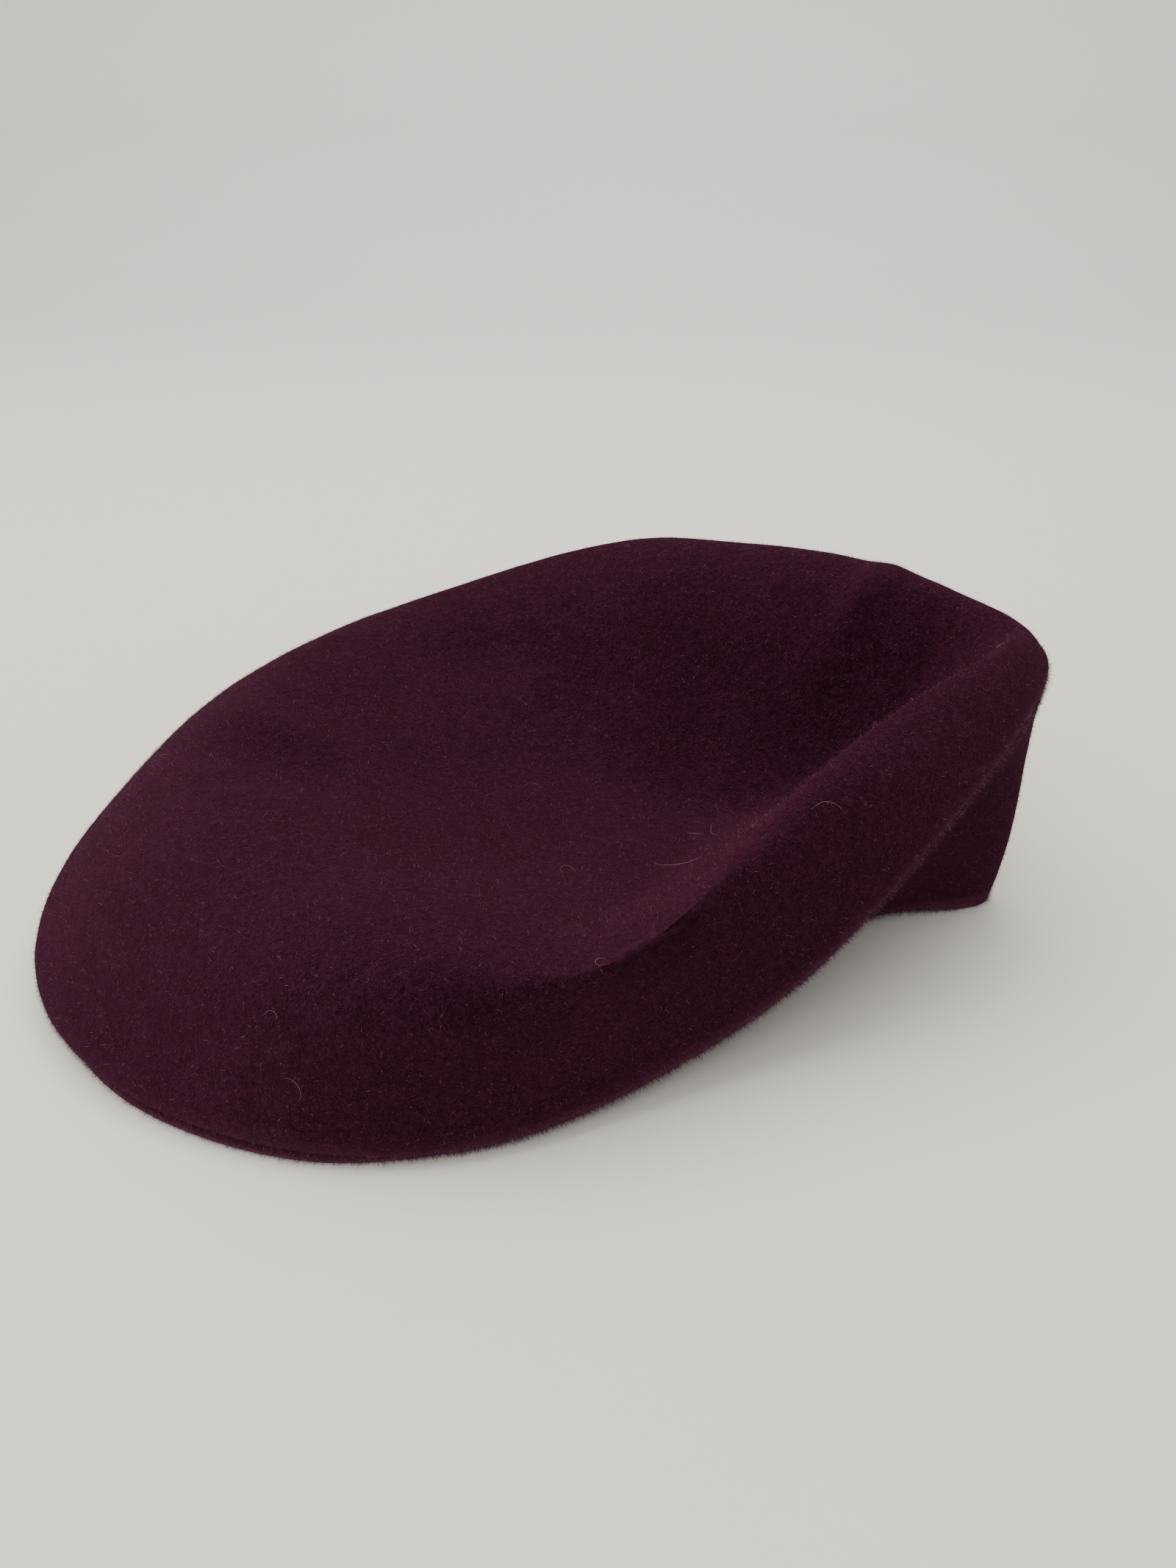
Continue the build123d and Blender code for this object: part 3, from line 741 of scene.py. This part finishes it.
def makeBowKnot():
    along, across = 72, 14
    mesh, column, row = addGrid(across, along)
    angle = (row % along) / along * 2 * np.pi
    half, deep = bow["knotHeight"] / 2, (bow["lift"] + bow["depth"] + 0.5) / 2 - 0.1
    corner = (np.abs(np.cos(angle)) ** 4 + np.abs(np.sin(angle)) ** 4) ** -0.25
    u = column / across - 0.5
    x = u * bow["knotWidth"] * (1 - 0.10 * np.abs(np.sin(angle)))
    crease = 0.22 * np.cos(u * 6 * np.pi) * np.clip(np.sin(angle) + 0.6, 0, 1) - 0.5 * (2 * u) ** 4
    y = (half + crease) * np.cos(angle) * corner
    z = (deep + crease) * np.sin(angle) * corner + deep + 0.45 - bow["lift"]
    layPoints(mesh, fromBow(np.stack([x, y, z], 1)))
    gridUv(mesh, column, row, 24.0 / along, bow["knotWidth"] / across)
    bpy.ops.object.mode_set(mode="EDIT")
    bpy.ops.mesh.select_all(action="SELECT")
    bpy.ops.mesh.remove_doubles(threshold=0.000001)
    bpy.ops.mesh.normals_make_consistent(inside=False)
    bpy.ops.object.mode_set(mode="OBJECT")
    thicken(bow["layer"])
    dress(newPiece("bowKnot", "beret", "bow_knot", "bow_knot"), ribbonMaterial)


print("bow")
makeBowLoops()
makeBowKnot()

careFlap = {"turn": 3.02, "width": 24.0, "length": 26.0, "bend": 0.9,
            "dark": (0.62, 0.61, 0.57, 1), "light": (0.80, 0.79, 0.76, 1), "threads": 520, "gloss": 0.28}
sizeFlap = {"turn": 3.56, "width": 12.0, "length": 12.0, "bend": 0.4,
            "dark": (0.012, 0.011, 0.013, 1), "light": (0.05, 0.047, 0.052, 1), "threads": 420, "gloss": 0.45}
flapSet = {"rise": 6.0, "gap": 0.6, "lean": 2.2, "thickness": 0.28, "start": 0.35,
           "stitch": 2.2, "stitchDrop": 0.85, "stitchLift": 0.05}


def makeFlap(name, body, node, flap, satin):
    # a tape that leans off the ribbon and lifts a little at its free corners
    place, x, y, z = wallFrame(flap["turn"], flapSet["rise"], ribbonFace + flapSet["gap"])
    lean = math.radians(flapSet["lean"])
    y, z = y * math.cos(lean) + z * math.sin(lean), z * math.cos(lean) - y * math.sin(lean)
    across, along = 28, 32
    mesh, column, row = addGrid(across, along)
    u, v = column / across - 0.5, row / along
    curl = flap["bend"] * (0.5 * v ** 2 + 0.45 * (2 * u) ** 4 * v ** 3) + 0.07 * np.sin(v * 9 + u * 3) * v
    neck = 1 - 0.012 * np.sin(v * np.pi)
    upwards = flapSet["start"] + v * (flap["length"] - flapSet["start"]) + 0.15 * (2 * u) ** 2 * v
    local = np.stack([u * flap["width"] * neck, upwards, flapSet["thickness"] / 2 + 0.04 + curl], 1)
    layPoints(mesh, place + (local @ np.array([x, y, z])) * mm)
    gridUv(mesh, column, row, flap["length"] / along, flap["width"] / across)
    thicken(flapSet["thickness"])
    piece = newPiece(name, body, node, node)
    dress(piece, satinMaterial(satin, flap["dark"], flap["light"], flap["threads"], flap["gloss"]))
    stitches = []  # on the ribbon just below the flap, clear of it as it swings
    for k in np.linspace(-0.42, 0.42, max(3, int(flap["width"] / 4))):
        away = x * k * flap["width"] - y * flapSet["stitchDrop"] + z * flapSet["stitchLift"]
        stitches.append((place + away * mm, x, y, z))
    return stitches


print("flaps")
flapStitches = makeFlap("careLabel", "care_flap", "care_label", careFlap, "whiteSatin")
flapStitches += makeFlap("sizeTab", "size_flap", "size_tab", sizeFlap, "darkTape")
makeStitches("flapStitches", flapStitches, flapSet["stitch"], labelEnds["width"], labelEnds["height"], "beret",
             "sweatband_stitches", paleThread)

print("studio")
view = {"place": (0.0155, -0.3017, 0.2148), "tilt": 60, "lens": 27.0, "sensor": 36.0}
bpy.ops.object.camera_add(location=view["place"], rotation=(math.radians(view["tilt"]), 0, 0))
camera = bpy.context.object
camera.data.lens = view["lens"]
camera.data.sensor_width = view["sensor"]
camera.data.clip_start = 0.01
bpy.context.scene.camera = camera

room = {
    # near, middle and far are painted light: the paper is coloured lighter towards the backdrop
    "half": 3.0, "bendFrom": 1.2, "near": (0.755, 0.735, 0.68, 1), "middle": (0.86, 0.85, 0.81, 1),
    "far": (0.93, 0.91, 0.87, 1), "grain": (0.6, 0.59, 0.56, 1), "sky": (1.0, 0.99, 0.97, 1), "skyPower": 0.66,
    "lamps": [  # name, place, aim, size, power, colour
        ("ceiling", (-0.12, 0.34, 1.3), (0, 0.05, 0), (1.9, 1.1), 23.5, (1, 0.985, 0.955)),
        ("fill", (-0.35, -0.9, 0.85), (0, 0, 0.03), (0.8, 0.6), 6.0, (1, 0.985, 0.96)),
        ("window", (-1.3, -0.2, 0.9), (0, 0, 0.05), (1.0, 0.9), 4.0, (1, 0.98, 0.95)),
    ],
}
bpy.ops.mesh.primitive_grid_add(x_subdivisions=2, y_subdivisions=40, size=2)
floor = bpy.context.object
floor.name = "floor"
for vertex in floor.data.vertices:
    x, y = vertex.co.x * room["half"], vertex.co.y * room["half"]
    bend = max(0.0, y - room["bendFrom"])
    vertex.co = (x, min(y, room["bendFrom"]) + min(bend, 0.5), bend ** 2 * 0.9)
bpy.ops.object.transform_apply(scale=True)
bpy.ops.object.shade_smooth()
floorRecipe = Recipe("paper", Roughness=0.75, Specular_IOR_Level=0.2)
grain = floorRecipe.cloud(floorRecipe.place(), 60, 4)
away = floorRecipe.add("ShaderNodeSeparateXYZ", {}, {0: floorRecipe.place()}, 1)
# painted light: the paper gets lighter from under the beret towards the backdrop
paper = floorRecipe.ramp(away * 0.5, (0.05, room["near"]), (0.5, room["middle"]), (0.7, room["far"]))
floorRecipe.feed("Base Color", floorRecipe.mix(grain * 0.08, paper, room["grain"]))
dress(floor, floorRecipe.material)

world = bpy.data.worlds.new("room")
bpy.context.scene.world = world
world.use_nodes = True
world.node_tree.nodes["Background"].inputs[0].default_value = room["sky"]
world.node_tree.nodes["Background"].inputs[1].default_value = room["skyPower"]

for name, place, aim, size, power, colour in room["lamps"]:
    bpy.ops.object.light_add(type="AREA", location=place)
    lamp = bpy.context.object
    lamp.name = name
    lamp.data.shape = "RECTANGLE"
    lamp.data.size, lamp.data.size_y = size
    lamp.data.energy = power
    lamp.data.color = colour
    lamp.rotation_euler = (Vector(aim) - Vector(place)).to_track_quat("-Z", "Y").to_euler()

print("done")
